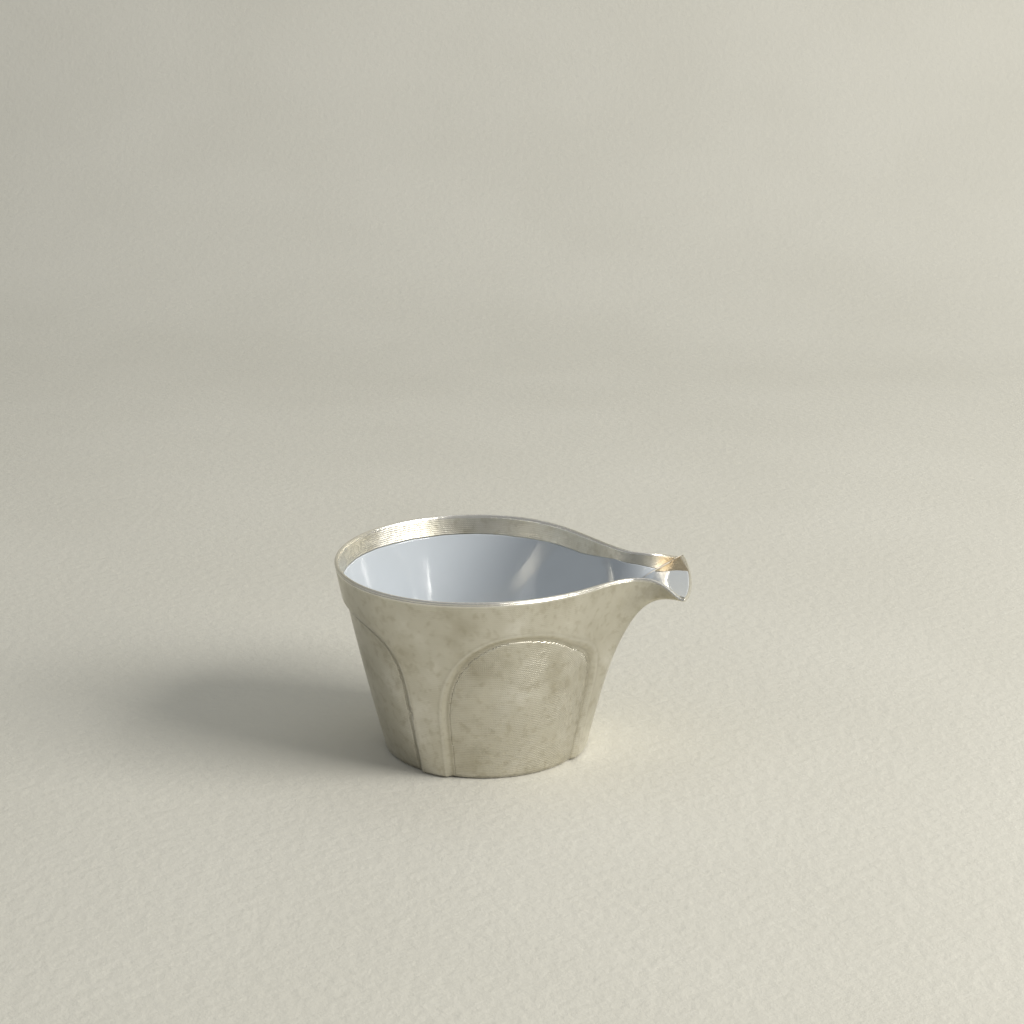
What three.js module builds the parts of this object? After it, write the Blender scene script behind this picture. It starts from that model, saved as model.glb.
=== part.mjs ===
// Tea pitcher for pouring steeped tea: a tapered porcelain bowl with a wide, flared spout luted to
// its front, a pale glaze inside, and silver outside with three sunk arches round the wall.
// Millimetres, +Z up. The spout points along +X, and the two sides mirror each other across Y = 0.
import * as THREE from "three";

// The bowl
const RIM_HEIGHT = 58.5; // table to rim, at the back
const FOOT_RADIUS = 30; // wall where it meets the table
const MOUTH_BACK = 44.3; // axis to rim, opposite the spout
const MOUTH_HALF_WIDTH = 45.5; // plane of symmetry to rim, at the widest place
const WIDEST_BEHIND_AXIS = 3.3;
const WALL_BELLY = 0.7; // how far the wall swells from a straight taper
const WALL_THICKNESS = 3.0;
const RIM_THICKNESS = 1.5;
const CREST_HEIGHT = 0.6; // rounded top of the rim
const FLOOR_TOP = 5; // table to the inside of the floor
const FLOOR_FILLET = 9;

// The spout: its rim narrows to a neck, opens to two corners, and ends in a shallow, rounded lip
const NECK_REACH = 47;
const NECK_HALF_WIDTH = 13.4;
const NECK_DROP = 2.2; // below the rim at the back
const CORNER_REACH = 58.6;
const CORNER_HALF_WIDTH = 22.6;
const CORNER_DROP = 5.8;
const LIP_REACH = 61.5;
const LIP_DROP = 7.0;
const CHANNEL_HALF_WIDTH = 12.3; // side walls below the neck
const CHANNEL_DEPTH = 8; // how straight the neck's walls drop from the rim
const CHANNEL_FLOOR = 5.6; // below the neck, under the lip's corners
const THROAT_REACH = 41.5; // where the underside turns from the wall into the spout
const THROAT_DROP = 10.5;

// The foot
const FOOT_RING_INNER = 23.2;
const FOOT_RING_OUTER = 28.3;
const FOOT_RECESS = 1.5;
const FOOT_CHAMFER = 0.9; // silver stops this far above the table

// Coats on the fired clay
const SILVER = 0.3;
const GLAZE = 0.3;
const BAND_DEPTH = 5.6; // silver turned over the rim and down inside

// The sunk arches, measured round the foot in degrees from the spout
const ARCH_SINK = 0.9;
const ARCH_BEVEL = 2.2; // degrees, and the same width along the top
const ARCH_SPRING = 21; // height where the straight sides end
const ARCH_TOP = 47.2;
const ARCH_POWER = 2.4; // roundness of the shoulders
const ARCH_SHOULDER = 40; // degrees from a straight side to the top
const SIDE_ARCH_FROM = 25.5;
const SIDE_ARCH_TO = 105.5;
const SIDE_ARCH_LEAN = 2.4; // its top rises towards the back
const BACK_ARCH_FROM = 120.8;

// Seam where the spout is luted to the bowl
const SEAM_HEIGHT = 36;

const radians = THREE.MathUtils.degToRad;
const lerp = THREE.MathUtils.lerp;
const smooth = THREE.MathUtils.smoothstep;
const point = (x, y, z) => new THREE.Vector3(x, y, z);

// The rim's half outline, as four curves from the back to the tip of the lip
const QUARTER = 0.5523; // handle length of a quarter ellipse
const neckHeight = RIM_HEIGHT - NECK_DROP;
const cornerHeight = RIM_HEIGHT - CORNER_DROP;
const lipHeight = RIM_HEIGHT - LIP_DROP;
const backToSide = new THREE.CubicBezierCurve3(
  point(-MOUTH_BACK, 0, RIM_HEIGHT),
  point(-MOUTH_BACK, QUARTER * MOUTH_HALF_WIDTH, RIM_HEIGHT),
  point(-lerp(WIDEST_BEHIND_AXIS, MOUTH_BACK, QUARTER), MOUTH_HALF_WIDTH, RIM_HEIGHT),
  point(-WIDEST_BEHIND_AXIS, MOUTH_HALF_WIDTH, RIM_HEIGHT),
);
const sideToNeck = new THREE.CubicBezierCurve3(
  backToSide.v3,
  point(0.58 * NECK_REACH, MOUTH_HALF_WIDTH, RIM_HEIGHT),
  point(0.75 * NECK_REACH, NECK_HALF_WIDTH, neckHeight),
  point(NECK_REACH, NECK_HALF_WIDTH, neckHeight),
);
const neckToCorner = new THREE.CubicBezierCurve3(
  sideToNeck.v3,
  point(lerp(NECK_REACH, CORNER_REACH, 0.54), NECK_HALF_WIDTH, neckHeight),
  point(
    lerp(NECK_REACH, CORNER_REACH, 0.74),
    lerp(NECK_HALF_WIDTH, CORNER_HALF_WIDTH, 0.7),
    lerp(neckHeight, cornerHeight, 0.7),
  ),
  point(CORNER_REACH, CORNER_HALF_WIDTH, cornerHeight),
);
const cornerToLip = new THREE.CubicBezierCurve3(
  neckToCorner.v3,
  point(lerp(CORNER_REACH, LIP_REACH, 0.5), CORNER_HALF_WIDTH, lerp(cornerHeight, lipHeight, 0.4)),
  point(LIP_REACH, 0.5 * CORNER_HALF_WIDTH, lipHeight),
  point(LIP_REACH, 0, lipHeight),
);

// Where the mouth's rim lies in a direction seen from the axis
const neckAngle = Math.atan2(NECK_HALF_WIDTH, NECK_REACH);
function mouthRim(angle) {
  const widest = Math.atan2(MOUTH_HALF_WIDTH, -WIDEST_BEHIND_AXIS);
  const curve = angle > widest ? backToSide : sideToNeck;
  let [low, high] = [0, 1];
  while (high - low > 1e-6) {
    const middle = (low + high) / 2;
    const at = curve.getPoint(middle);
    if (Math.atan2(at.y, at.x) > angle) low = middle;
    else high = middle;
  }
  return curve.getPoint(low);
}

// Columns run up the wall from foot to rim. Half of them are described, from the lip to the back.
const LIP_COLUMNS = 4;
const SIDE_COLUMNS = 4;
const ARCH_COLUMNS = 8;
const LEG_COLUMNS = 2;
const BACK_COLUMNS = 6;
const NECK_FOOT_ANGLE = 20; // the column that ends at the neck starts here on the foot
const MOUTH_BLEND = 30; // degrees over which the neck's shape fades into the plain wall

// Evenly spaced values after `from`, up to and including `to`
const steps = (from, to, count) =>
  Array.from({ length: count }, (_, n) => lerp(from, to, (n + 1) / count));

const footAngles = [
  0,
  ...steps(0, NECK_FOOT_ANGLE, LIP_COLUMNS + SIDE_COLUMNS),
  SIDE_ARCH_FROM,
  SIDE_ARCH_FROM + ARCH_BEVEL,
  ...steps(SIDE_ARCH_FROM + ARCH_BEVEL, SIDE_ARCH_TO - ARCH_BEVEL, ARCH_COLUMNS),
  SIDE_ARCH_TO,
  ...steps(SIDE_ARCH_TO, BACK_ARCH_FROM, LEG_COLUMNS),
  BACK_ARCH_FROM + ARCH_BEVEL,
  ...steps(BACK_ARCH_FROM + ARCH_BEVEL, 180, BACK_COLUMNS),
];
const HALF = footAngles.length - 1;
const COLUMNS = 2 * HALF;
const seamColumn = footAngles.indexOf(SIDE_ARCH_FROM);

// The lower and upper handles of a column: the wall is one Bezier curve from foot to rim.
const wallSlope = (MOUTH_BACK - FOOT_RADIUS) / RIM_HEIGHT;
const throat = {
  lip: point(THROAT_REACH, 0, RIM_HEIGHT - THROAT_DROP),
  corner: point(
    lerp(THROAT_REACH, CORNER_REACH, 0.5),
    0.42 * NECK_HALF_WIDTH,
    neckHeight - CHANNEL_FLOOR,
  ),
  neck: point(NECK_REACH - 0.5, CHANNEL_HALF_WIDTH, neckHeight - CHANNEL_DEPTH),
};
const RISE_AT_LIP = 0.77 * RIM_HEIGHT;
const RISE_AT_NECK = 0.48 * RIM_HEIGHT;

function column(n) {
  const angle = radians(footAngles[n]);
  const outward = point(Math.cos(angle), Math.sin(angle), 0);
  const foot = outward.clone().multiplyScalar(FOOT_RADIUS);
  const climb = outward.clone().multiplyScalar(wallSlope).setZ(1);
  const neck = LIP_COLUMNS + SIDE_COLUMNS;
  if (n <= LIP_COLUMNS) {
    const share = n / LIP_COLUMNS;
    return {
      foot,
      low: foot.clone().addScaledVector(climb, RISE_AT_LIP),
      high: throat.lip.clone().lerp(throat.corner, share),
      rim: cornerToLip.getPoint(1 - share),
    };
  }
  if (n <= neck) {
    const share = (n - LIP_COLUMNS) / SIDE_COLUMNS;
    return {
      foot,
      low: foot.clone().addScaledVector(climb, lerp(RISE_AT_LIP, RISE_AT_NECK, share)),
      high: throat.corner.clone().lerp(throat.neck, share),
      rim: neckToCorner.getPoint(1 - share),
    };
  }
  const round = (footAngles[n] - NECK_FOOT_ANGLE) / (180 - NECK_FOOT_ANGLE);
  const rim = mouthRim(lerp(neckAngle, Math.PI, round));
  const spouted = 1 - smooth(footAngles[n], NECK_FOOT_ANGLE, NECK_FOOT_ANGLE + MOUTH_BLEND);
  const belly = outward.clone().multiplyScalar(WALL_BELLY);
  const low = foot.clone().lerp(rim, 1 / 3).add(belly);
  const high = foot.clone().lerp(rim, 2 / 3).add(belly);
  const neckHigh = rim.clone().sub(sideToNeck.v3).add(throat.neck);
  return {
    foot,
    low: low.lerp(foot.clone().addScaledVector(climb, RISE_AT_NECK), spouted),
    high: high.lerp(neckHigh, spouted),
    rim,
  };
}

const halfColumns = footAngles.map((_, n) => column(n));
function wallPoint(n, share) {
  const mirrored = n > HALF;
  const c = halfColumns[mirrored ? COLUMNS - n : n];
  const p = new THREE.CubicBezierCurve3(c.foot, c.low, c.high, c.rim).getPoint(share);
  if (mirrored) p.y = -p.y;
  return p;
}

// Rows run along the wall from the middle of the floor to the rim. The arches' tops are on rows.
const FLOOR_ROWS = 5;
const ARCH_ROWS = 6;
const COLLAR_ROWS = 4;
const BAND_ROWS = 2;
const archRow = FLOOR_ROWS + ARCH_ROWS; // sunk edge of an arch; the raised edge is one row up
const bandRow = archRow + 1 + COLLAR_ROWS;
const rimRow = bandRow + BAND_ROWS;
const seamRow = archRow + 2;
const crestRow = rimRow + 1;

const footAngle = (n) => footAngles[n > HALF ? COLUMNS - n : n];

// Height of an arch's raised edge over a foot angle, or of the row that carries on past its sides
function archTop(degrees) {
  const back = degrees >= BACK_ARCH_FROM;
  const from = back ? BACK_ARCH_FROM : SIDE_ARCH_FROM;
  const to = back ? 360 - BACK_ARCH_FROM : SIDE_ARCH_TO;
  const inside = Math.min(degrees - from, to - degrees);
  if (inside <= 0) {
    const underSpout = smooth(SIDE_ARCH_FROM - degrees, 0, SIDE_ARCH_FROM);
    return lerp(ARCH_SPRING, 0.6 * RIM_HEIGHT, underSpout);
  }
  const out = 1 - Math.min(1, inside / ARCH_SHOULDER);
  const rise = (1 - out ** ARCH_POWER) ** (1 / ARCH_POWER);
  const lean = back ? 0 : (SIDE_ARCH_LEAN * (2 * degrees - from - to)) / (to - from);
  return ARCH_SPRING + (ARCH_TOP - ARCH_SPRING + lean) * rise;
}

const bevelRise = (radians(ARCH_BEVEL) * (FOOT_RADIUS + MOUTH_BACK)) / 2;
const chamferShare = FOOT_CHAMFER / RIM_HEIGHT;
const bandShare = 1 - BAND_DEPTH / RIM_HEIGHT;
const rimShare = 1 - CREST_HEIGHT / RIM_HEIGHT;

// Share of the wall, from foot to rim, at a row
function wallShare(n, row) {
  const top = archTop(footAngle(n)) / RIM_HEIGHT;
  const sunk = top - bevelRise / RIM_HEIGHT;
  if (row <= archRow) return lerp(chamferShare, sunk, (row - FLOOR_ROWS) / ARCH_ROWS);
  if (row <= bandRow) return lerp(top, bandShare, (row - archRow - 1) / COLLAR_ROWS);
  return lerp(bandShare, rimShare, (row - bandRow) / BAND_ROWS);
}

// Outward normal of the wall by small steps along it and round it
function facing(n, share) {
  const before = wallPoint((n + COLUMNS - 1) % COLUMNS, share);
  const after = wallPoint((n + 1) % COLUMNS, share);
  const below = wallPoint(n, Math.max(0, share - 0.02));
  const above = wallPoint(n, Math.min(1, share + 0.02));
  return after.sub(before).cross(above.sub(below)).normalize();
}

// The same, averaged over a few columns, so that tight corners don't fold when the wall gets thick
const SPREAD = 2;
function wallNormal(n, share) {
  const sum = point(0, 0, 0);
  for (let step = -SPREAD; step <= SPREAD; step += 1) {
    sum.add(facing((n + step + COLUMNS) % COLUMNS, share));
  }
  return sum.normalize();
}
const offset = (n, share, depth) =>
  wallPoint(n, share).addScaledVector(wallNormal(n, share), -depth);

const archOf = (n) => {
  const a = footAngle(n);
  const within = (from, to) => a > from + ARCH_BEVEL / 2 && a < to - ARCH_BEVEL / 2;
  if (within(BACK_ARCH_FROM, 361)) return "back";
  return within(SIDE_ARCH_FROM, SIDE_ARCH_TO) ? "side" : null;
};
const sunkAt = (n, row) => (row <= archRow && archOf(n) ? ARCH_SINK : 0);

// Inside, the wall's rows start above the fillet, so they're spread a little higher than outside.
const filletShare = (FLOOR_TOP + FLOOR_FILLET) / RIM_HEIGHT;
const insideShare = (share) => lerp(filletShare, 1, (share - chamferShare) / (1 - chamferShare));
const thicknessAt = (share) => lerp(WALL_THICKNESS, RIM_THICKNESS, smooth(share, 0.3, 1));

// Underside from the middle out: a glazed recess, then the bare ring that the pitcher stands on
const UNDERSIDE = [
  [0, FOOT_RECESS],
  [FOOT_RING_INNER / 2, FOOT_RECESS],
  [FOOT_RING_INNER - FOOT_RECESS, FOOT_RECESS],
  [FOOT_RING_INNER, 0],
  [FOOT_RING_OUTER, 0],
];
const ringRow = 2;

// Inside of the floor, up a fillet to where the wall's rows begin. Depth is measured into the clay.
function insideFloor(n, row, depth) {
  const wall = offset(n, filletShare, thicknessAt(filletShare) - depth);
  const corner = wall.clone().addScaledVector(point(wall.x, wall.y, 0).normalize(), -wallSlope * FLOOR_FILLET);
  corner.z = FLOOR_TOP - depth;
  const flat = corner.clone().addScaledVector(point(wall.x, wall.y, 0).normalize(), -FLOOR_FILLET);
  if (row <= ringRow) return point(0, 0, flat.z).lerp(flat, row / ringRow);
  const share = (row - ringRow) / (FLOOR_ROWS - ringRow);
  return new THREE.QuadraticBezierCurve3(flat, corner, wall).getPoint(share);
}

// The pitcher is four surfaces deep: outside, outer face of the clay, inner face of it, and inside.
const [OUTSIDE, CLAY_OUTSIDE, CLAY_INSIDE, INSIDE] = [0, 1, 2, 3];
const LAYERS = 3;

function place(n, row, layer) {
  if (row < FLOOR_ROWS) {
    if (layer >= CLAY_INSIDE) return insideFloor(n, row, layer === CLAY_INSIDE ? GLAZE : 0);
    const [radius, height] = UNDERSIDE[row];
    const a = radians(footAngle(n)) * (n > HALF ? -1 : 1);
    const coat = layer === CLAY_OUTSIDE ? GLAZE : 0;
    return point(radius * Math.cos(a), radius * Math.sin(a), height + coat);
  }
  if (row === crestRow) {
    // The crest is rounded: its two edges lie lower than its middle.
    const lift = layer === OUTSIDE || layer === INSIDE ? 0.45 * CREST_HEIGHT : CREST_HEIGHT;
    const across = [0.08, 0.33, 0.67, 0.92][layer] * RIM_THICKNESS;
    const up = wallPoint(n, 1).sub(wallPoint(n, rimShare)).normalize();
    return offset(n, rimShare, across).addScaledVector(up, lift);
  }
  const share = wallShare(n, row);
  if (layer === OUTSIDE) return offset(n, share, sunkAt(n, row));
  if (layer === CLAY_OUTSIDE) return offset(n, share, sunkAt(n, row) + SILVER);
  const inside = insideShare(share);
  return offset(n, inside, thicknessAt(inside) - (layer === CLAY_INSIDE ? GLAZE : 0));
}

// Which piece fills the cell between two columns, two rows and two layers
function owner(n, row, layer) {
  if (n < 0) n += COLUMNS;
  if (n >= COLUMNS) n -= COLUMNS;
  if (row < 0 || row > rimRow || layer < 0 || layer >= LAYERS) return null;
  const half = Math.min(n, COLUMNS - 1 - n); // the cell's place from the spout's middle
  if (row === rimRow) return "rim_band";
  if (layer === OUTSIDE) {
    if (row < ringRow) return "base_glaze";
    if (row < FLOOR_ROWS) return "porcelain_bowl";
    const arch = archOf(n) && archOf(n) === archOf((n + 1) % COLUMNS) && archOf(n);
    if (arch === "back" && row < archRow) return "back_panel";
    if (arch === "side" && row < archRow) return n < HALF ? "left_panel" : "right_panel";
    return "silver_jacket";
  }
  if (layer === CLAY_OUTSIDE) {
    return half < seamColumn && row >= seamRow ? "porcelain_spout" : "porcelain_bowl";
  }
  const lipGlaze = half < LIP_COLUMNS / 2;
  return row >= bandRow && !lipGlaze ? "rim_band" : "interior_glaze";
}

// Collects the faces that separate one piece from everything else. Neighbours share their facets.
function pieceGeometry(name) {
  const positions = [];
  const nodeAt = new Map();
  const index = [];
  const vertex = (n, row, layer) => {
    const around = row === 0 ? 0 : n % COLUMNS;
    const key = `${around} ${row} ${layer}`;
    if (!nodeAt.has(key)) {
      nodeAt.set(key, positions.length / 3);
      positions.push(...place(around, row, layer).toArray());
    }
    return nodeAt.get(key);
  };
  const triangle = (a, b, c) => {
    if (a !== b && b !== c && c !== a) index.push(a, b, c);
  };
  // The quad a b c d is split along a c, whichever piece it's drawn for.
  const quad = (flip, a, b, c, d) => {
    const [p, q, r, s] = [a, b, c, d].map((at) => vertex(...at));
    if (flip) [[p, r, q], [p, s, r]].forEach((t) => triangle(...t));
    else [[p, q, r], [p, r, s]].forEach((t) => triangle(...t));
  };
  for (let n = 0; n < COLUMNS; n += 1) {
    for (let row = 0; row <= rimRow; row += 1) {
      for (let layer = 0; layer < LAYERS; layer += 1) {
        if (owner(n, row, layer) !== name) continue;
        for (const far of [0, 1]) {
          const step = far ? 1 : -1;
          if (owner(n, row, layer + step) !== name) {
            const l = layer + far;
            quad(far, [n, row, l], [n + 1, row, l], [n + 1, row + 1, l], [n, row + 1, l]);
          }
          if (owner(n + step, row, layer) !== name) {
            const c = n + far;
            quad(far, [c, row, layer], [c, row + 1, layer], [c, row + 1, layer + 1], [c, row, layer + 1]);
          }
          if (owner(n, row + step, layer) !== name) {
            const r = row + far;
            quad(!far, [n, r, layer], [n + 1, r, layer], [n + 1, r, layer + 1], [n, r, layer + 1]);
          }
        }
      }
    }
  }
  const geometry = new THREE.BufferGeometry();
  geometry.setAttribute("position", new THREE.Float32BufferAttribute(positions, 3));
  geometry.setIndex(index);
  geometry.computeVertexNormals();
  return geometry;
}

const finish = (color, roughness, metalness) =>
  new THREE.MeshStandardMaterial({ color, roughness, metalness });
const silver = finish(0xbdb9a6, 0.42, 0.9);
const sunkSilver = finish(0xb2b09f, 0.5, 0.9);
const glaze = finish(0xb9c6cf, 0.08, 0);
const porcelain = finish(0xe6e2d8, 0.7, 0);

const pieces = {
  porcelain_bowl: porcelain,
  porcelain_spout: porcelain,
  interior_glaze: glaze,
  base_glaze: glaze,
  silver_jacket: silver,
  left_panel: sunkSilver,
  right_panel: sunkSilver,
  back_panel: sunkSilver,
  rim_band: silver,
};

const pitcher = new THREE.Group();
for (const [name, material] of Object.entries(pieces)) {
  const mesh = new THREE.Mesh(pieceGeometry(name), material);
  mesh.name = name;
  pitcher.add(mesh);
}
// The part's origin is on the table, under the middle of its overall length.
pitcher.position.x = (MOUTH_BACK - LIP_REACH) / 2;

const part = new THREE.Group();
part.add(pitcher);
export default part;
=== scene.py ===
import math

import bmesh
import bpy
import numpy as np
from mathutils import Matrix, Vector


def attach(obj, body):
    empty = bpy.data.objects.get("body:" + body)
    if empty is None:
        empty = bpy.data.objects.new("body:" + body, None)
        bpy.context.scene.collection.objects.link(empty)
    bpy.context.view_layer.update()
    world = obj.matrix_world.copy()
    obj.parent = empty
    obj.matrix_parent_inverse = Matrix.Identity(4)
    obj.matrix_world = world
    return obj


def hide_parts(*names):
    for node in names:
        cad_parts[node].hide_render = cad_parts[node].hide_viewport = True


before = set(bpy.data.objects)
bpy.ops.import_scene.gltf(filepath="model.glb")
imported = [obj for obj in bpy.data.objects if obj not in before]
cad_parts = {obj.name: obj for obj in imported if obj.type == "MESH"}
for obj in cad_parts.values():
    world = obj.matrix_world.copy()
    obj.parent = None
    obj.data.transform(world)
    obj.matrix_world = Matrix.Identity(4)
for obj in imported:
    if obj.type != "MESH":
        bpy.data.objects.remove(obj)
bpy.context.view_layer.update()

# Sizes in millimetres, before SHIFT puts the middle of the overall length at X = 0
RIM_HEIGHT = 58.5
FOOT_RADIUS = 31.0
BACK_REACH = 44.3
HALF_WIDTH = 45.5
WIDEST_BEHIND = 3.3
BELLY = 0.7
WALL = 3.0
RIM_WALL = 1.25
CREST = 0.6
CREST_RISE = CREST + 0.02
FLOOR_TOP = 5.0
FLOOR_FILLET = 9.0
NECK_X, NECK_HALF, NECK_DROP = 47.0, 13.4, 2.2
CORNER_X, CORNER_HALF, CORNER_DROP = 58.6, 22.6, 5.8
LIP_X, LIP_DROP = 61.5, 7.0
CHANNEL_HALF, CHANNEL_DEPTH, CHANNEL_FLOOR = 12.3, 8.0, 5.6
THROAT_X, THROAT_DROP = 41.5, 10.5
THROAT_TO_CORNER = 0.35
CORNER_HANDLE = 0.42
NECK_HANDLE_BACK = 3.0
RING_INNER, RING_OUTER = 23.2, 29.2
RECESS = 1.5
CHAMFER = 0.5
COAT = 0.3
INSET = 0.06
SHIFT = (BACK_REACH - LIP_X) / 2
SLOPE = (BACK_REACH - FOOT_RADIUS) / RIM_HEIGHT

# Heights of the wall's lower handles, as shares of the rim's height
HANDLE_UNDER_LIP = 0.77
HANDLE_UNDER_NECK = 0.48

# Foot angles in degrees from the middle of the spout
SPOUT_TO = 20.0
BLEND = 30.0
HANDLE_BLUR = 3.0
RIM_BLUR = 2.2

# The arches: foot angles, heights, and the power of the ellipse over the spring line
SIDE_ARCH = dict(start=25.5, end=106.5, apex=74.0, top=47.5, power=2.1)
BACK_ARCH = dict(start=120.8, end=239.2, apex=180.0, top=48.0, power=4.0)
SPRING = 18.0
SINK = 1.1
BEVEL = 1.9
PANEL_FROM = 2.3
SIDE_PANEL_TO = 112
NO_ARCH = -99.0

# How far the silver comes down inside, in millimetres, by foot angle on the far and the near side
BRUSHED = 5.6
FAR_BAND = [
    (0, 0.12), (2.4, 0.15), (3.6, 4.0), (5.0, 10.0), (7.0, 13.5), (9.5, 14.0),
    (12.0, 12.0), (15.0, 9.0), (20, 6.4), (26, BRUSHED), (180, BRUSHED),
]
NEAR_BAND = [(0, 0.12), (7.0, 0.15), (9.0, 1.2), (12.0, 3.2), (18.0, 5.2), (24, BRUSHED), (180, BRUSHED)]

# Rows of the grid up the outside, over the crest, down the band and the glaze, and over the floor
OUT_ROWS = 130
CREST_ROWS = 8
BAND_ROWS = 18
IN_ROWS = 84
FILLET_ROWS = 16
FLOOR_ROWS = 9


def vec(*parts):
    return np.array(parts, float)


def lerp(a, b, t):
    return a + (b - a) * t


def smooth(x, a, b):
    """0 below a, 1 above b, and an S-curve between them."""
    t = np.clip((np.asarray(x, float) - a) / (b - a), 0, 1)
    return t * t * (3 - 2 * t)


def bezier(p, t):
    """Points of cubic Beziers: p is four arrays of points, t the shares along them."""
    t = np.asarray(t, float)[..., None]
    s = 1 - t
    return s**3 * p[0] + 3 * s * s * t * p[1] + 3 * s * t * t * p[2] + t**3 * p[3]


def to_metres(points):
    return (points + vec(SHIFT, 0, 0)) / 1000.0


# The far half of the rim in four curves. The bare numbers in their handles are shares of a way
QUARTER_CIRCLE = 0.5523
NECK_Z = RIM_HEIGHT - NECK_DROP
CORNER_Z = RIM_HEIGHT - CORNER_DROP
LIP_Z = RIM_HEIGHT - LIP_DROP
BACK_TO_SIDE = [
    vec(-BACK_REACH, 0, RIM_HEIGHT),
    vec(-BACK_REACH, QUARTER_CIRCLE * HALF_WIDTH, RIM_HEIGHT),
    vec(-lerp(WIDEST_BEHIND, BACK_REACH, QUARTER_CIRCLE), HALF_WIDTH, RIM_HEIGHT),
    vec(-WIDEST_BEHIND, HALF_WIDTH, RIM_HEIGHT),
]
SIDE_TO_NECK = [
    BACK_TO_SIDE[3],
    vec(0.58 * NECK_X, HALF_WIDTH, RIM_HEIGHT),
    vec(0.75 * NECK_X, NECK_HALF, NECK_Z),
    vec(NECK_X, NECK_HALF, NECK_Z),
]
NECK_TO_CORNER = [
    SIDE_TO_NECK[3],
    vec(lerp(NECK_X, CORNER_X, 0.54), NECK_HALF, NECK_Z),
    vec(lerp(NECK_X, CORNER_X, 0.74), lerp(NECK_HALF, CORNER_HALF, 0.7), lerp(NECK_Z, CORNER_Z, 0.7)),
    vec(CORNER_X, CORNER_HALF, CORNER_Z),
]
CORNER_TO_LIP = [
    NECK_TO_CORNER[3],
    vec(lerp(CORNER_X, LIP_X, 0.5), CORNER_HALF, lerp(CORNER_Z, LIP_Z, 0.4)),
    vec(LIP_X, 0.5 * CORNER_HALF, LIP_Z),
    vec(LIP_X, 0, LIP_Z),
]

# Columns round the pitcher, by signed foot angle in degrees: 0 is under the spout, + is the far side
FINE_TO, FINE_STEP, COARSE_STEP = 24, 0.25, 0.6
fine_angles = np.arange(0, FINE_TO, FINE_STEP)
coarse_angles = np.arange(FINE_TO, 180.01, COARSE_STEP)
half_angles = np.unique(np.round(np.concatenate([fine_angles, coarse_angles]), 4))
ANGLE = np.concatenate([half_angles, -half_angles[1:-1][::-1]])
COLUMNS = len(ANGLE)
AWAY = np.abs(ANGLE)
SIDE = np.where(ANGLE < 0, -1.0, 1.0)


def mouth_rim(directions):
    """The rim's points from the back to the neck in the given directions, found by halving."""
    halvings = 30
    widest = math.atan2(HALF_WIDTH, -WIDEST_BEHIND)
    points = np.zeros((len(directions), 3))
    for k, want in enumerate(directions):
        curve = BACK_TO_SIDE if want > widest else SIDE_TO_NECK
        low, high = 0.0, 1.0
        for _ in range(halvings):
            middle = (low + high) / 2
            p = bezier(curve, middle)
            if math.atan2(p[1], p[0]) > want:
                low = middle
            else:
                high = middle
        points[k] = bezier(curve, low)
    return points


def spout_points(foot, climb):
    """The handles and the rim of the columns under the spout: first to the corner, then to the neck."""
    half = SPOUT_TO / 2
    to_corner = np.clip(AWAY / half, 0, 1)[:, None]
    to_neck = np.clip((AWAY - half) / half, 0, 1)[:, None]
    lip = vec(THROAT_X, 0, RIM_HEIGHT - THROAT_DROP)
    corner_x = lerp(THROAT_X, CORNER_X, THROAT_TO_CORNER)
    corner = vec(corner_x, CORNER_HANDLE * NECK_HALF, NECK_Z - CHANNEL_FLOOR)
    neck = vec(NECK_X - NECK_HANDLE_BACK, CHANNEL_HALF, NECK_Z - CHANNEL_DEPTH)
    low = foot + climb * lerp(HANDLE_UNDER_LIP * RIM_HEIGHT, HANDLE_UNDER_NECK * RIM_HEIGHT, to_neck)
    before_corner = AWAY[:, None] <= half
    high = np.where(before_corner, lerp(lip, corner, to_corner), lerp(corner, neck, to_neck))
    lip_curve = bezier(CORNER_TO_LIP, 1 - to_corner[:, 0])
    neck_curve = bezier(NECK_TO_CORNER, 1 - to_neck[:, 0])
    return low, high, np.where(before_corner, lip_curve, neck_curve), neck


def control_points():
    """Each column's foot, its two handles and its rim, each as columns x 3."""
    turn = np.radians(AWAY)
    outward = np.stack([np.cos(turn), np.sin(turn), np.zeros(COLUMNS)], 1)
    foot = outward * FOOT_RADIUS
    climb = outward * SLOPE + vec(0, 0, 1)
    spout_low, spout_high, spout_rim, neck = spout_points(foot, climb)
    rounded = np.clip((AWAY - SPOUT_TO) / (180 - SPOUT_TO), 0, 1)
    neck_direction = math.atan2(NECK_HALF, NECK_X)
    bowl_rim = mouth_rim(neck_direction + (math.pi - neck_direction) * rounded)
    spouted = (1 - smooth(AWAY, SPOUT_TO, SPOUT_TO + BLEND))[:, None]
    belly = outward * BELLY
    straight = foot + climb * HANDLE_UNDER_NECK * RIM_HEIGHT
    bowl_low = lerp(lerp(foot, bowl_rim, 1 / 3) + belly, straight, spouted)
    bowl_high = lerp(lerp(foot, bowl_rim, 2 / 3) + belly, bowl_rim - SIDE_TO_NECK[3] + neck, spouted)
    in_spout = (AWAY <= SPOUT_TO)[:, None]
    low = np.where(in_spout, spout_low, bowl_low)
    high = np.where(in_spout, spout_high, bowl_high)
    rim = np.where(in_spout, spout_rim, bowl_rim)
    for points in (foot, low, high, rim):
        points[:, 1] *= SIDE
    return foot, low, high, rim


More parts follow.
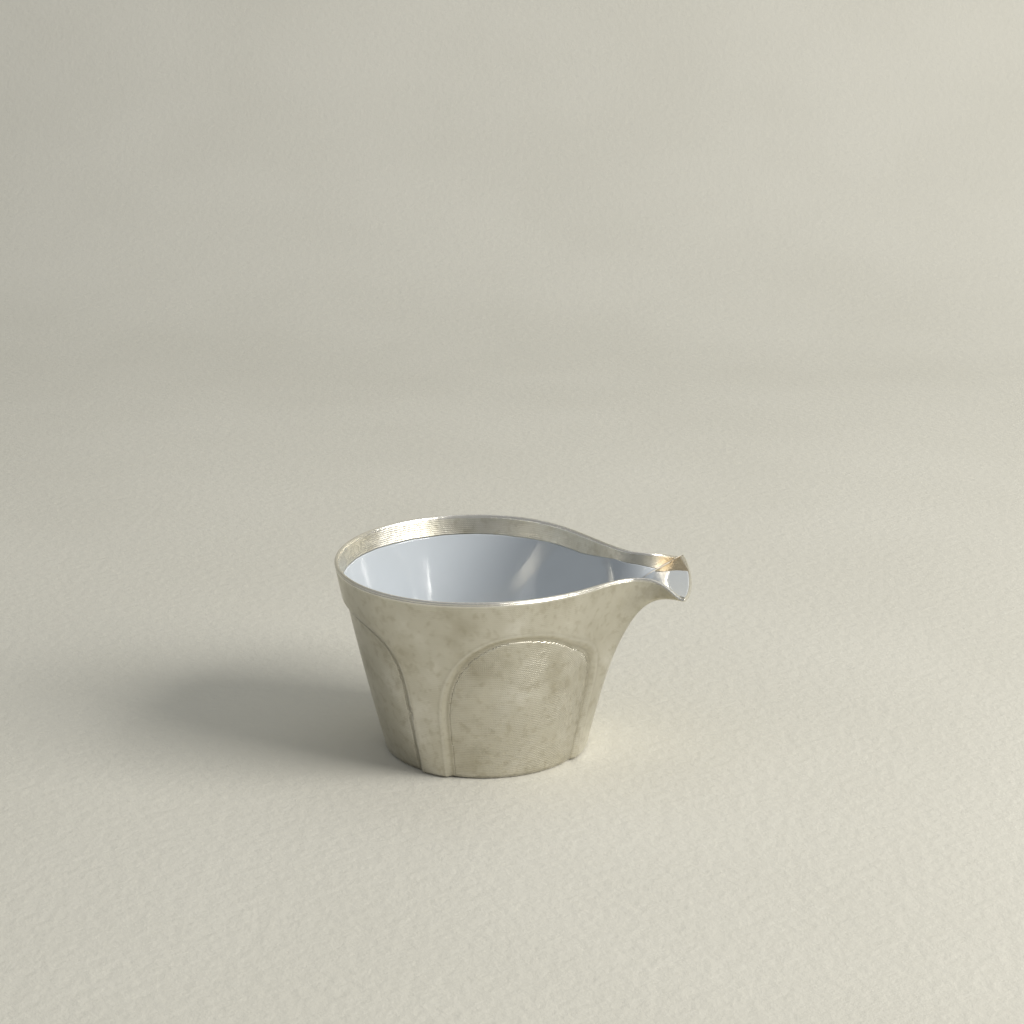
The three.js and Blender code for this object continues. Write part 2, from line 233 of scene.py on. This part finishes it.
def blur_round(points, degrees):
    """Softens control points round the pitcher with a moving average over foot angle."""
    step = 0.25
    order = np.argsort(ANGLE)
    angles, sorted_points = ANGLE[order], points[order]
    three_turns = np.concatenate([angles - 360, angles, angles + 360])
    repeated = np.concatenate([sorted_points] * 3)
    even = np.arange(-190, 190, step)
    resampled = np.stack([np.interp(even, three_turns, repeated[:, k]) for k in range(3)], 1)
    count = int(round(degrees / step)) * 2 + 1
    weights = np.hanning(count + 2)[1:-1]
    weights /= weights.sum()
    padded = [np.pad(resampled[:, k], count // 2, mode="edge") for k in range(3)]
    blurred = np.stack([np.convolve(line, weights, "valid") for line in padded], 1)
    return np.stack([np.interp(ANGLE, even, blurred[:, k]) for k in range(3)], 1)


FOOT, LOW, HIGH, RIM = control_points()
LOW = blur_round(LOW, HANDLE_BLUR)
HIGH = blur_round(HIGH, HANDLE_BLUR)
RIM = blur_round(RIM, RIM_BLUR)


def wall(shares):
    """Points of the wall's outer face at the given shares of its height: shares x columns x 3."""
    return bezier([FOOT, LOW, HIGH, RIM], np.repeat(np.asarray(shares, float)[:, None], COLUMNS, 1))


def grid_normals(points):
    """Outward normals of a grid of points, rows x columns, closed round the columns."""
    along_row = np.roll(points, -1, 1) - np.roll(points, 1, 1)
    up_column = np.zeros_like(points)
    up_column[1:-1] = points[2:] - points[:-2]
    up_column[0], up_column[-1] = points[1] - points[0], points[-1] - points[-2]
    normals = np.cross(along_row, up_column)
    return normals / np.maximum(np.linalg.norm(normals, axis=2, keepdims=True), 1e-12)


def blur_columns(normals, times):
    """Averages each normal with its two neighbours in the row, over and over."""
    for _ in range(times):
        normals = 0.25 * np.roll(normals, 1, 1) + 0.5 * normals + 0.25 * np.roll(normals, -1, 1)
    return normals / np.linalg.norm(normals, axis=2, keepdims=True)


# The arches
def arch_outline(start, end, apex, top, power):
    """An arch's raised edge as (foot angle, height) points, from the foot up one side and down the other."""
    below_foot, leg_points, top_points = -6, 40, 240
    turn = np.linspace(0, math.pi, top_points)
    x, y = np.cos(turn), np.sin(turn)
    x, y = np.sign(-x) * np.abs(x) ** (2 / power), y ** (2 / power)
    reach = np.where(x < 0, apex - start, end - apex)
    curve = np.stack([apex + reach * x, SPRING + (top - SPRING) * y], 1)
    rising = np.linspace(below_foot, SPRING, leg_points, endpoint=False)
    falling = np.linspace(SPRING, below_foot, leg_points + 1)[1:]
    first_leg = np.stack([np.full(leg_points, start), rising], 1)
    last_leg = np.stack([np.full(leg_points, end), falling], 1)
    return np.concatenate([first_leg, curve, last_leg])


def arch_depth(shares):
    """Signed distance in millimetres inside the nearest arch, for rows x columns of height shares."""
    near_degrees, rim_radius = 12, 45.0
    height = shares * RIM_HEIGHT
    radius = lerp(FOOT_RADIUS, rim_radius, shares)
    result = np.full(shares.shape, NO_ARCH)
    whole_turn = np.where(ANGLE < 0, 360 + ANGLE, ANGLE)
    for arch, angles in ((SIDE_ARCH, AWAY), (BACK_ARCH, whole_turn)):
        line = arch_outline(**arch)
        first, last = line[0, 0], line[-1, 0]
        for c in range(COLUMNS):
            if not (first - near_degrees < angles[c] < last + near_degrees):
                continue
            across = np.radians(angles[c] - line[:, 0])[None, :] * radius[:, c][:, None]
            upward = height[:, c][:, None] - line[None, :, 1]
            distance = np.sqrt((across * across + upward * upward).min(1))
            within = first < angles[c] < last
            top = np.interp(angles[c], line[:, 0], line[:, 1]) if within else NO_ARCH
            sign = np.where(height[:, c] < top, 1.0, -1.0)
            result[:, c] = np.maximum(result[:, c], distance * sign)
    return result


# The outside, sunk inside the arches
rim_share = 1 - CREST / RIM_HEIGHT
out_share = np.linspace(CHAMFER / RIM_HEIGHT, rim_share, OUT_ROWS)
wall_out = wall(out_share)
DEPTH = arch_depth(np.repeat(out_share[:, None], COLUMNS, 1))
OUT = wall_out - grid_normals(wall_out) * (SINK * smooth(DEPTH, 0.0, BEVEL) + INSET)[..., None]


# The inside, whose silver band has a lower edge brushed by hand
def wavy(scale, terms, seed):
    """A wave round the pitcher: cosines of the given numbers of turns, with seeded sizes and phases."""
    phase_to = 6.28
    draw = np.random.default_rng(seed)
    turn = np.radians(ANGLE)
    total = np.zeros(COLUMNS)
    for k in terms:
        total += draw.normal() / k**0.5 * np.cos(k * turn + draw.uniform(0, phase_to))
    return scale * total


def band_width():
    """How far the silver comes down inside in each column, in millimetres."""
    width = np.where(ANGLE >= 0, np.interp(AWAY, *zip(*FAR_BAND)), np.interp(AWAY, *zip(*NEAR_BAND)))
    waves = wavy(0.10, range(3, 14), 3) + wavy(0.05, range(18, 60, 3), 4)
    return width + np.clip((width - 1) / 4, 0, 1) * waves


def inside():
    """The inner face from the floor's fillet up to the crest, with a row along the band's lower edge."""
    measured_rows, normal_blur, thin_from = 120, 26, 0.3
    lowest_band, least_band, closer_upwards = 0.3, 0.001, 0.8
    fillet_share = (FLOOR_TOP + FLOOR_FILLET) / RIM_HEIGHT
    path_length = RIM_HEIGHT * 1.02
    band_share = np.clip(rim_share - band_width() / path_length, lowest_band, rim_share - least_band)[None, :]
    glaze_steps = np.linspace(0, 1, IN_ROWS)[:, None] ** closer_upwards
    band_steps = np.linspace(0, 1, BAND_ROWS)[1:, None]
    glazed = lerp(fillet_share, band_share, glaze_steps)
    silvered = lerp(band_share, rim_share, band_steps)
    shares = np.concatenate([glazed, silvered])
    base_share = np.linspace(fillet_share, rim_share, measured_rows)
    base_wall = wall(base_share)
    thick = lerp(WALL, RIM_WALL, smooth(base_share, thin_from, 1))[:, None, None]
    base = base_wall - blur_columns(grid_normals(base_wall), normal_blur) * thick
    points = np.zeros((len(shares), COLUMNS, 3))
    for c in range(COLUMNS):
        for k in range(3):
            points[:, c, k] = np.interp(shares[:, c], base_share, base[:, c, k])
    return points


IN = inside()


def crest():
    """Half an ellipse in each column, from the outside's top row to the inside's."""
    up = wall([1.0])[0] - wall([rim_share])[0]
    up /= np.linalg.norm(up, axis=1, keepdims=True)
    middle, arm = (OUT[-1] + IN[-1]) / 2, (OUT[-1] - IN[-1]) / 2
    turns = np.linspace(0, math.pi, CREST_ROWS + 2)[1:-1]
    return np.stack([middle + arm * math.cos(t) + up * CREST_RISE * math.sin(t) for t in turns])


def floor_inside():
    """The floor from its middle out to the flat's edge, then the fillet up to the inside's first row."""
    first = IN[0]
    radial = first * vec(1, 1, 0)
    radial /= np.linalg.norm(radial, axis=1, keepdims=True)
    corner = first - radial * SLOPE * FLOOR_FILLET
    corner[:, 2] = FLOOR_TOP
    flat = corner - radial * FLOOR_FILLET
    t = np.linspace(0, 1, FILLET_ROWS)[:-1, None, None]
    fillet = (1 - t) ** 2 * flat + 2 * t * (1 - t) * corner + t * t * first
    middle = vec(0, 0, FLOOR_TOP)
    disc = np.stack([lerp(middle, flat, s) for s in np.linspace(0, 1, FLOOR_ROWS)[:-1]])
    return np.concatenate([disc, fillet])


# The underside as (radius, height) points: the glazed recess, the bare flat ring and the silver's edge
UNDER_PROFILE = [
    (0.0, RECESS), (8, RECESS), (16, RECESS), (RING_INNER - 2.6, RECESS), (RING_INNER - 1.6, RECESS - 0.12),
    (RING_INNER - 0.8, 0.75), (RING_INNER - 0.25, 0.15), (RING_INNER + 0.15, 0.0), (24.2, 0.0), (25.7, 0.0),
    (27.2, 0.0), (RING_OUTER - 0.3, 0.0), (RING_OUTER + 0.1, 0.1),
]
GLAZED_ROWS = 4


def underside():
    """The profile turned round the middle, from the centre out to where the silver stops."""
    turn = np.radians(AWAY)
    direction = np.stack([np.cos(turn), np.sin(turn) * SIDE, np.zeros(COLUMNS)], 1)
    return np.stack([direction * radius + vec(0, 0, height) for radius, height in UNDER_PROFILE])


# One grid over the whole pitcher: underside, outside, crest, inside and floor
PATH = np.concatenate([underside(), OUT, crest(), IN[::-1], floor_inside()[::-1]])
R_UNDER = len(UNDER_PROFILE)
R_OUT = R_UNDER + OUT_ROWS
R_CREST = R_OUT + CREST_ROWS
R_BAND = R_CREST + BAND_ROWS - 1
R_END = len(PATH)
NORMAL = grid_normals(PATH)
NORMAL[0], NORMAL[-1] = vec(0, 0, -1), vec(0, 0, 1)
BACKING = PATH - blur_columns(NORMAL, 2) * COAT


def add_object(name, points, faces):
    """A smooth-shaded object from points in metres."""
    mesh = bpy.data.meshes.new(name)
    mesh.from_pydata(points, [], faces)
    mesh.update()
    mesh.polygons.foreach_set("use_smooth", [True] * len(mesh.polygons))
    obj = bpy.data.objects.new(name, mesh)
    bpy.context.scene.collection.objects.link(obj)
    return obj


def join_poles(mesh):
    """Merges the points that meet on the axis, so that the surface closes there."""
    same_place = 1e-7
    work = bmesh.new()
    work.from_mesh(mesh)
    bmesh.ops.remove_doubles(work, verts=work.verts, dist=same_place)
    work.to_mesh(mesh)
    work.free()
    mesh.update()


def shell(name, outer, inner, mask):
    """A closed coat over the masked cells of the grid: its face, its back, and walls along its edges.
    The mask has a row and a column per cell, and a cell joins columns c and c+1. Gives the object and
    the grid points that it uses."""
    r, c = np.nonzero(mask)
    c2 = (c + 1) % COLUMNS
    used = np.zeros(outer.shape[:2], bool)
    for rows, columns in ((r, c), (r, c2), (r + 1, c), (r + 1, c2)):
        used[rows, columns] = True
    ids = -np.ones(used.shape, int)
    n = used.sum()
    ids[used] = np.arange(n)
    face = np.stack([ids[r, c], ids[r, c2], ids[r + 1, c2], ids[r + 1, c]], 1)
    faces = [face, face[:, ::-1] + n]
    up_free, down_free = np.ones_like(mask), np.ones_like(mask)
    up_free[:-1] = ~mask[1:]
    down_free[1:] = ~mask[:-1]
    right_free, left_free = ~np.roll(mask, -1, 1), ~np.roll(mask, 1, 1)
    for free, (a, b) in (
        (up_free, ((1, 1), (1, 0))),
        (down_free, ((0, 0), (0, 1))),
        (right_free, ((0, 1), (1, 1))),
        (left_free, ((1, 0), (0, 0))),
    ):
        edge_row, edge_column = np.nonzero(mask & free)
        p = ids[edge_row + a[0], (edge_column + a[1]) % COLUMNS]
        q = ids[edge_row + b[0], (edge_column + b[1]) % COLUMNS]
        faces.append(np.stack([q, p, p + n, q + n], 1))
    points = to_metres(np.concatenate([outer[used], inner[used]]))
    return add_object(name, points.tolist(), np.concatenate(faces).tolist()), used


def add_attribute(obj, name, used, values):
    """A value at each point of a shell, the same on its face and its back."""
    attribute = obj.data.attributes.new(name, "FLOAT", "POINT")
    picked = values[used].astype(np.float32)
    attribute.data.foreach_set("value", np.concatenate([picked, picked]))


# Which cells of the grid each coat covers
def least_of_corners(values):
    """The least of each cell's four corners."""
    least = np.minimum(values[:-1], values[1:])
    return np.minimum(least, np.roll(least, -1, 1))


depth_everywhere = np.full((R_END, COLUMNS), NO_ARCH)
depth_everywhere[R_UNDER:R_OUT] = DEPTH
cell_row = np.arange(R_END - 1)[:, None] * np.ones((1, COLUMNS), int)
outside_cells = (cell_row >= R_UNDER - 1) & (cell_row < R_OUT - 1)
panel_cells = outside_cells & (cell_row >= R_UNDER) & (least_of_corners(depth_everywhere) > PANEL_FROM)
side_cells = panel_cells & (AWAY < SIDE_PANEL_TO)[None, :]
left_cells = side_cells & (ANGLE > 0)[None, :]
right_cells = side_cells & (ANGLE < 0)[None, :]
back_cells = panel_cells & ~side_cells
jacket_cells = outside_cells & ~panel_cells
band_cells = (cell_row >= R_OUT - 1) & (cell_row < R_BAND)
glaze_cells = cell_row >= R_BAND
base_cells = cell_row < GLAZED_ROWS


# Materials
def material(name):
    """A new material, its node tree and its shader node."""
    made = bpy.data.materials.new(name)
    made.use_nodes = True
    nt = made.node_tree
    return made, nt, nt.nodes["Principled BSDF"]


def object_coordinates(nt):
    return nt.nodes.new("ShaderNodeTexCoord").outputs["Object"]


def set_or_link(nt, socket, value):
    """Puts a number or colour on a socket, or links another node's output to it."""
    if isinstance(value, bpy.types.NodeSocket):
        nt.links.new(value, socket)
    else:
        socket.default_value = value


def attribute_value(nt, name):
    reader = nt.nodes.new("ShaderNodeAttribute")
    reader.attribute_name = name
    return reader.outputs["Fac"]


def ramp(nt, source, stops):
    """Colours by a number, from two or more (position, colour) stops."""
    made = nt.nodes.new("ShaderNodeValToRGB")
    made.color_ramp.interpolation = "EASE"
    elements = made.color_ramp.elements
    for element, (position, colour) in zip(elements, stops):
        element.position = position
        element.color = (*colour, 1)
    for position, colour in stops[len(elements):]:
        elements.new(position).color = (*colour, 1)
    nt.links.new(source, made.inputs[0])
    return made.outputs[0]


def noise(nt, where, scale, detail=3.0, rough=0.5):
    made = nt.nodes.new("ShaderNodeTexNoise")
    made.inputs["Scale"].default_value = scale
    made.inputs["Detail"].default_value = detail
    made.inputs["Roughness"].default_value = rough
    nt.links.new(where, made.inputs["Vector"])
    return made.outputs["Fac"]


def mixed_colour(nt, factor, a, b, blend="MIX"):
    made = nt.nodes.new("ShaderNodeMix")
    made.data_type = "RGBA"
    made.blend_type = blend
    set_or_link(nt, made.inputs[0], factor)
    for socket, colour in ((6, a), (7, b)):
        is_output = isinstance(colour, bpy.types.NodeSocket)
        set_or_link(nt, made.inputs[socket], colour if is_output else (*colour, 1))
    return made.outputs[2]


def mixed_number(nt, factor, a, b):
    made = nt.nodes.new("ShaderNodeMix")
    made.data_type = "FLOAT"
    for socket, value in ((0, factor), (2, a), (3, b)):
        set_or_link(nt, made.inputs[socket], value)
    return made.outputs[0]


def maths(nt, operation, a, b=0.5):
    made = nt.nodes.new("ShaderNodeMath")
    made.operation = operation
    set_or_link(nt, made.inputs[0], a)
    set_or_link(nt, made.inputs[1], b)
    return made.outputs[0]


def add_bump(nt, height, strength, distance, under=None):
    """A bump from a height, over the bump under it where there is one."""
    made = nt.nodes.new("ShaderNodeBump")
    made.inputs["Strength"].default_value = strength
    made.inputs["Distance"].default_value = distance
    nt.links.new(height, made.inputs["Height"])
    if under is not None:
        nt.links.new(under, made.inputs["Normal"])
    return made.outputs[0]


def weave_of(nt, coord, panel):
    """A cloth-like texture: rows of small stitches, wavering a little, from about -1 to 1."""
    stitch_length, row_height = 0.52, 0.62
    stitch_waver, row_waver = 3.0, 4.0
    warp = noise(nt, coord, 260, 2, 0.5)
    around = maths(nt, "MULTIPLY", attribute_value(nt, "around"), 2 * math.pi / stitch_length)
    upward = maths(nt, "MULTIPLY", attribute_value(nt, "upward"), 2 * math.pi / row_height)
    u = maths(nt, "ADD", around, maths(nt, "MULTIPLY", warp, stitch_waver))
    v = maths(nt, "ADD", upward, maths(nt, "MULTIPLY", warp, row_waver))
    rows = maths(nt, "SINE", v)
    stitches = maths(nt, "MULTIPLY", maths(nt, "SINE", u), rows)
    weave = maths(nt, "ADD", maths(nt, "MULTIPLY", stitches, 0.6), maths(nt, "MULTIPLY", rows, 0.5))
    patch = ramp(nt, noise(nt, coord, 95, 2, 0.5), [(0.36, (0.45, 0.45, 0.45)), (0.62, (1, 1, 1))])
    on_panel = maths(nt, "ADD", maths(nt, "MULTIPLY", panel, 0.6), 0.4)
    return maths(nt, "MULTIPLY", weave, maths(nt, "MULTIPLY", on_panel, patch))


def silver_material():
    made, nt, bsdf = material("silver_coat")
    coord = object_coordinates(nt)
    # The edge mark places a painted highlight on the rim's crest and along the arches' raised edges; it also
    # makes the silver smoother there
    edge = attribute_value(nt, "edge")
    weave = weave_of(nt, coord, attribute_value(nt, "panel"))

    # Colour: cloudy silver, finely speckled, darker where tarnished, with painted shade in the crevices at
    # the arches and a painted highlight on the rim and the arches' raised edges
    dark, plain, light = (0.54, 0.51, 0.42), (0.66, 0.635, 0.55), (0.79, 0.77, 0.70)
    base = ramp(nt, noise(nt, coord, 60, 4, 0.55), [(0.26, dark), (0.5, plain), (0.74, light)])
    speck = ramp(nt, noise(nt, coord, 420, 3, 0.6), [(0.30, (0.80, 0.78, 0.73)), (0.52, (1.0, 1.0, 1.0))])
    base = mixed_colour(nt, 0.65, base, speck, blend="MULTIPLY")
    for name, share, colour in (
        # The crevice mark is painted shade: a darker colour laid in the crease at the foot of each arch's
        # bevel
        ("painted_crevice_shade", 0.55, (0.40, 0.37, 0.29)),
        ("tarnish", 0.8, (0.36, 0.285, 0.18)),
        # The edge mark is a painted highlight: a light colour laid along the crest and the arches' raised
        # edges
        ("edge", 0.6, (0.92, 0.90, 0.84)),
    ):
        base = mixed_colour(nt, maths(nt, "MULTIPLY", attribute_value(nt, name), share), base, colour)
    weave_height = maths(nt, "ADD", maths(nt, "MULTIPLY", weave, 0.4), 0.5)
    weave_tone = ramp(nt, weave_height, [(0.2, (0.80, 0.79, 0.75)), (0.6, (1.0, 1.0, 1.0))])
    base = mixed_colour(nt, 1.0, base, weave_tone, blend="MULTIPLY")
    nt.links.new(base, bsdf.inputs["Base Color"])
    bsdf.inputs["Metallic"].default_value = 0.96

    roughness = mixed_number(nt, noise(nt, coord, 150, 3, 0.6), 0.27, 0.44)
    nt.links.new(mixed_number(nt, edge, roughness, 0.25), bsdf.inputs["Roughness"])

    woven = add_bump(nt, weave, 0.6, 0.00010)
    grained = add_bump(nt, noise(nt, coord, 520, 4, 0.65), 0.6, 0.00016, woven)
    uneven = add_bump(nt, noise(nt, coord, 120, 2, 0.5), 0.35, 0.0006, grained)
    nt.links.new(uneven, bsdf.inputs["Normal"])
    return made


def glaze_material():
    made, nt, bsdf = material("pale_glaze")
    coord = object_coordinates(nt)
    tones = [(0.3, (0.50, 0.54, 0.575)), (0.7, (0.56, 0.595, 0.625))]
    nt.links.new(ramp(nt, noise(nt, coord, 22, 3, 0.5), tones), bsdf.inputs["Base Color"])
    nt.links.new(mixed_number(nt, noise(nt, coord, 300, 2, 0.5), 0.06, 0.14), bsdf.inputs["Roughness"])
    bsdf.inputs["Coat Weight"].default_value = 0.6
    bsdf.inputs["Coat Roughness"].default_value = 0.04
    nt.links.new(add_bump(nt, noise(nt, coord, 90, 2, 0.4), 0.25, 0.0002), bsdf.inputs["Normal"])
    return made


def clay_material():
    made, nt, bsdf = material("bare_porcelain")
    coord = object_coordinates(nt)
    tones = [(0.3, (0.60, 0.56, 0.48)), (0.7, (0.74, 0.71, 0.64))]
    nt.links.new(ramp(nt, noise(nt, coord, 200, 4, 0.6), tones), bsdf.inputs["Base Color"])
    nt.links.new(mixed_number(nt, noise(nt, coord, 500, 3, 0.5), 0.65, 0.85), bsdf.inputs["Roughness"])
    nt.links.new(add_bump(nt, noise(nt, coord, 900, 3, 0.6), 0.5, 0.0001), bsdf.inputs["Normal"])
    return made


def paper_material():
    made, nt, bsdf = material("pale_paper")
    coord = object_coordinates(nt)
    tones = [(0.3, (0.615, 0.600, 0.530)), (0.7, (0.64, 0.625, 0.555))]
    nt.links.new(ramp(nt, noise(nt, coord, 9, 3, 0.5), tones), bsdf.inputs["Base Color"])
    bsdf.inputs["Roughness"].default_value = 0.9
    nt.links.new(add_bump(nt, noise(nt, coord, 260, 4, 0.6), 0.35, 0.0012), bsdf.inputs["Normal"])
    return made


# Values over the whole grid: the arch panels, millimetres round and up, tarnish, a painted highlight on edges
# and painted shade in crevices
def on_outside(values):
    """Values of the outside's rows, with 0 on all other rows."""
    everywhere = np.zeros((R_END, COLUMNS))
    everywhere[R_UNDER:R_OUT] = values
    return everywhere


def bell(x, middle, width):
    """1 at the middle, falling off to both sides."""
    return np.exp(-((x - middle) / width) ** 2)


def surface_values():
    """What the silver material reads, by name. Its distances inside an arch are in millimetres."""
    mean_radius = 38.0
    tarnish_from, tarnish_full, tarnish_beyond = 47, 56, 2
    ones = np.ones((R_END, COLUMNS))
    steps_up = np.linalg.norm(np.diff(PATH[:, COLUMNS // 4], axis=0), axis=1)
    # Edge: a painted highlight along the arches' raised edges at half strength, and in full over the rim's
    # crest
    edge = on_outside(bell(DEPTH, -0.1, 0.35) * 0.5)
    edge[R_OUT - 2:R_CREST + 2] = 1.0
    tarnish = np.zeros((R_END, COLUMNS))
    far_lip = smooth(PATH[..., 0], tarnish_from, tarnish_full) * (PATH[..., 1] > tarnish_beyond)
    tarnish[R_CREST:R_BAND + 1] = far_lip[R_CREST:R_BAND + 1]
    return {
        "panel": on_outside(smooth(DEPTH, 0.8, 2.2)),
        "around": np.radians(ANGLE)[None, :] * mean_radius * ones,
        "upward": np.cumsum(np.concatenate([[0], steps_up]))[:, None] * ones,
        "tarnish": tarnish,
        "edge": edge,
        # Crevice: painted shade in the crease at the foot of each arch's bevel, and half as strong just
        # outside the arch's edge
        "painted_crevice_shade": on_outside(bell(DEPTH, 1.75, 0.45) + 0.5 * bell(DEPTH, -0.5, 0.4)),
    }


SURFACE = surface_values()
SILVER, GLAZE, CLAY = silver_material(), glaze_material(), clay_material()


def coat(name, mask, mat, nodes):
    """A coat of silver or glaze over the masked cells, in place of a node of the frame."""
    obj, used = shell(name, PATH, BACKING, mask)
    if mat is SILVER:
        for key, values in SURFACE.items():
            add_attribute(obj, key, used, values)
    join_poles(obj.data)
    obj.data.materials.append(mat)
    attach(obj, "root")
    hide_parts(*nodes)


coat("silver_on_legs_and_collar", jacket_cells, SILVER, ["silver_jacket"])
coat("left_arch_panel", left_cells, SILVER, ["left_panel"])
coat("right_arch_panel", right_cells, SILVER, ["right_panel"])
coat("back_arch_panel", back_cells, SILVER, ["back_panel"])
coat("silver_rim_band", band_cells, SILVER, ["rim_band"])
coat("glaze_inside", glaze_cells, GLAZE, ["interior_glaze"])
coat("glaze_under_base", base_cells, GLAZE, ["base_glaze"])


def porcelain_body():
    """The clay that the coats leave: the same closed surface, set back under each coat, bare on the ring."""
    surface = BACKING.copy()
    surface[GLAZED_ROWS:R_UNDER - 1] = PATH[GLAZED_ROWS:R_UNDER - 1]
    ids = np.arange(R_END * COLUMNS).reshape(R_END, COLUMNS)
    next_ids = np.roll(ids, -1, 1)
    faces = np.stack([ids[:-1], next_ids[:-1], next_ids[1:], ids[1:]], 2).reshape(-1, 4)
    body = add_object("porcelain_body", to_metres(surface.reshape(-1, 3)).tolist(), faces.tolist())
    join_poles(body.data)
    body.data.materials.append(CLAY)
    return body


body = porcelain_body()
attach(body, "root")
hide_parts("porcelain_bowl", "porcelain_spout")


def paper_sweep():
    """Floor and backdrop in one bent sheet, in metres: flat, a quarter bend, then straight up."""
    front, bend_from, bend_radius, bend_steps, top, half_span = -1.6, 0.55, 0.5, 24, 2.5, 3.0
    profile = [(front, 0.0), (bend_from, 0.0)]
    for k in range(1, bend_steps + 1):
        turn = math.radians(k * 90 / bend_steps)
        profile.append((bend_from + bend_radius * math.sin(turn), bend_radius - bend_radius * math.cos(turn)))
    profile.append((bend_from + bend_radius, top))
    n = len(profile)
    points = [(x, y, z) for x in (-half_span, half_span) for y, z in profile]
    faces = [(k, n + k, n + k + 1, k + 1) for k in range(n - 1)]
    sheet = add_object("paper_sweep", points, faces)
    sheet.data.materials.append(paper_material())
    return sheet


floor = paper_sweep()


# Light and camera
def room_light(colour, strength):
    """Even light from all round."""
    world = bpy.data.worlds.new("room")
    bpy.context.scene.world = world
    world.use_nodes = True
    background = world.node_tree.nodes["Background"]
    background.inputs["Color"].default_value = (*colour, 1)
    background.inputs["Strength"].default_value = strength


def area(name, azimuth, elevation, distance, size, power, colour):
    """A soft light aimed at the pitcher. Azimuth is from +X towards the camera's side."""
    aim = Vector((0, 0, 0.03))
    a, e = math.radians(azimuth), math.radians(elevation)
    place = Vector((math.cos(a) * math.cos(e), -math.sin(a) * math.cos(e), math.sin(e))) * distance
    data = bpy.data.lights.new(name, "AREA")
    data.shape = "RECTANGLE"
    data.size, data.size_y = size
    data.energy = power
    data.color = colour
    light = bpy.data.objects.new(name, data)
    bpy.context.scene.collection.objects.link(light)
    light.location = place
    light.rotation_euler = (aim - place).to_track_quat("-Z", "Y").to_euler()


def photo_camera():
    """The camera fitted to the photograph. Its place is in millimetres, before SHIFT."""
    place = Vector((47.67 + SHIFT, -601.89, 242.27))
    forward = Vector((-0.06289, 0.96043, -0.27134))
    data = bpy.data.cameras.new("camera")
    data.sensor_fit = "HORIZONTAL"
    data.angle = math.radians(27.0)
    data.clip_start = 0.01
    data.clip_end = 20
    camera = bpy.data.objects.new("camera", data)
    bpy.context.scene.collection.objects.link(camera)
    camera.location = place / 1000
    camera.rotation_euler = forward.to_track_quat("-Z", "Y").to_euler()
    bpy.context.scene.camera = camera


room_light((0.95, 0.97, 1.0), 0.37)
area("window", 18, 31, 1.5, (0.85, 0.8), 25.0, (1.0, 0.97, 0.92))
area("sky_fill", -70, 60, 1.8, (1.6, 1.2), 5.0, (0.92, 0.96, 1.0))
photo_camera()
bpy.context.scene.view_settings.view_transform = "Standard"
